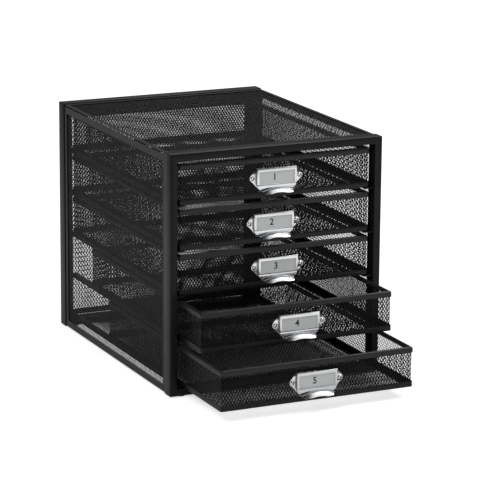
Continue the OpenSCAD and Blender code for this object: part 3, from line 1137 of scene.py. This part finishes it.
def open_floor(tree, place):
    """1 on the open floor and 0 on the part that keeps dark, softly between."""
    sides = []
    for axis, (low, high) in (("X", SHADE_X), ("Y", SHADE_Y)):
        half = (high - low) / 2
        off = reckon(tree, "ABSOLUTE", reckon(tree, "SUBTRACT", place[axis], low + half))
        sides.append(ramp(tree, off, (half - SHADE_BLUR, half + SHADE_BLUR)))
    return reckon(tree, "MAXIMUM", *sides)


def floor_finish(colour):
    """A pale floor that looks white to the eye but still takes a shadow.

    Metal sees it lighter towards the front."""
    m = bpy.data.materials.new("studio_floor")
    m.use_nodes = True
    tree = m.node_tree
    bsdf = tree.nodes["Principled BSDF"]
    bsdf.inputs["Base Color"].default_value = (*colour, 1)
    bsdf.inputs["Roughness"].default_value = 0.9
    bsdf.inputs["Specular IOR Level"].default_value = 0.1
    bsdf.inputs["Emission Color"].default_value = (1, 1, 1, 1)
    ray = tree.nodes.new("ShaderNodeLightPath").outputs
    place = coordinates(tree, "Object")
    glow = reckon(tree, "MULTIPLY", open_floor(tree, place), EYE_GLOW)
    to_the_eye = reckon(tree, "MULTIPLY", glow, ray["Is Camera Ray"])
    in_metal = reckon(tree, "MULTIPLY", ramp(tree, place["Y"], METAL_GLOW_Y, METAL_GLOW),
                      ray["Is Glossy Ray"])
    wire(tree, (reckon(tree, "ADD", to_the_eye, in_metal), bsdf.inputs["Emission Strength"]))
    return m


def lamp(name, power, size, place, target, mirrored):
    """A round lamp that faces its target, and shows in metal only where it is mirrored."""
    rest()
    bpy.ops.object.light_add(type="AREA", location=place)
    obj = bpy.context.object
    obj.name = name
    obj.data.energy = power
    obj.data.shape = "DISK"
    obj.data.size = size
    obj.visible_glossy = mirrored
    obj.rotation_mode = "QUATERNION"
    obj.rotation_quaternion = (target - place).to_track_quat("-Z", "Y")


def camera(middle):
    """The camera, which looks a little beside the cabinet's middle."""
    right = Vector((cos(VIEW_TURN), sin(VIEW_TURN), 0))
    away = Vector((right.y, -right.x, 0)) * cos(VIEW_LIFT) + Vector((0, 0, sin(VIEW_LIFT)))
    up = away.cross(right)
    across = right * cos(VIEW_ROLL) + up * sin(VIEW_ROLL)
    upward = up * cos(VIEW_ROLL) - right * sin(VIEW_ROLL)
    rest()
    bpy.ops.object.camera_add()
    obj = bpy.context.object
    obj.name = "studio_camera"
    obj.data.sensor_width = SENSOR
    obj.data.lens = LENS
    obj.data.clip_end = CLIP_END
    place = Matrix((across, upward, away)).transposed().to_4x4()
    place.translation = middle + right * VIEW_RIGHT + up * VIEW_UP + away * VIEW_AWAY
    obj.matrix_world = place
    return obj


class DRAWERS_OT_stage(bpy.types.Operator):
    """Set the floor, the light and the camera"""

    bl_idname = "drawers.stage"
    bl_label = "Stage"

    def execute(self, context):
        scene = context.scene
        s = scene.cabinet.studio
        scene.view_settings.view_transform = "Standard"
        scene.world = surround("studio", s)
        rest()
        bpy.ops.mesh.primitive_plane_add(size=FLOOR_SIZE, location=(0, 0, 0))
        floor = bpy.context.object
        floor.name = "studio_floor"
        floor.data.materials.append(floor_finish(s.floor))
        front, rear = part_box("front_frame"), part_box("rear_frame")
        middle = Vector((0, (front[0].y + rear[1].y) / 2, (front[0].z + front[1].z) / 2))
        lamp("key_lamp", s.key, KEY_SIZE, middle + KEY_FROM, middle, False)
        lamp("fill_lamp", s.fill, FILL_SIZE, middle + FILL_FROM, middle, True)
        scene.camera = camera(middle)
        return {"FINISHED"}


# ---------------------------------------------------------------- panel


class DRAWERS_PT_sidebar(bpy.types.Panel):
    """Lists what builds the cabinet, and its settings"""

    bl_idname = "DRAWERS_PT_sidebar"
    bl_label = "Desktop Mini Drawers"
    bl_space_type = "VIEW_3D"
    bl_region_type = "UI"
    bl_category = "Drawers"

    def draw(self, context):
        for op in STEPS:
            self.layout.operator(op.bl_idname, text=op.bl_label)
        settings = context.scene.cabinet
        for group in (settings.metal, settings.sheet, settings.finish, settings.studio):
            box = self.layout.box()
            for name in group.__annotations__:
                box.prop(group, name)


STEPS = (
    DRAWERS_OT_frames, DRAWERS_OT_trims, DRAWERS_OT_panels, DRAWERS_OT_baskets,
    DRAWERS_OT_rims, DRAWERS_OT_base_bands, DRAWERS_OT_pulls, DRAWERS_OT_cards,
    DRAWERS_OT_rivets, DRAWERS_OT_stage,
)
CLASSES = (
    ExpandedMetal, FoldedSheet, Finishes, Studio, CabinetSettings, *STEPS, DRAWERS_PT_sidebar,
)


def register():
    for c in CLASSES:
        bpy.utils.register_class(c)
    bpy.types.Scene.cabinet = PointerProperty(type=CabinetSettings)


def unregister():
    del bpy.types.Scene.cabinet
    for c in reversed(CLASSES):
        bpy.utils.unregister_class(c)


def main():
    register()
    for step in STEPS:
        group, name = step.bl_idname.split(".")
        getattr(getattr(bpy.ops, group), name)()
    rest()


if __name__ == "__main__":
    main()
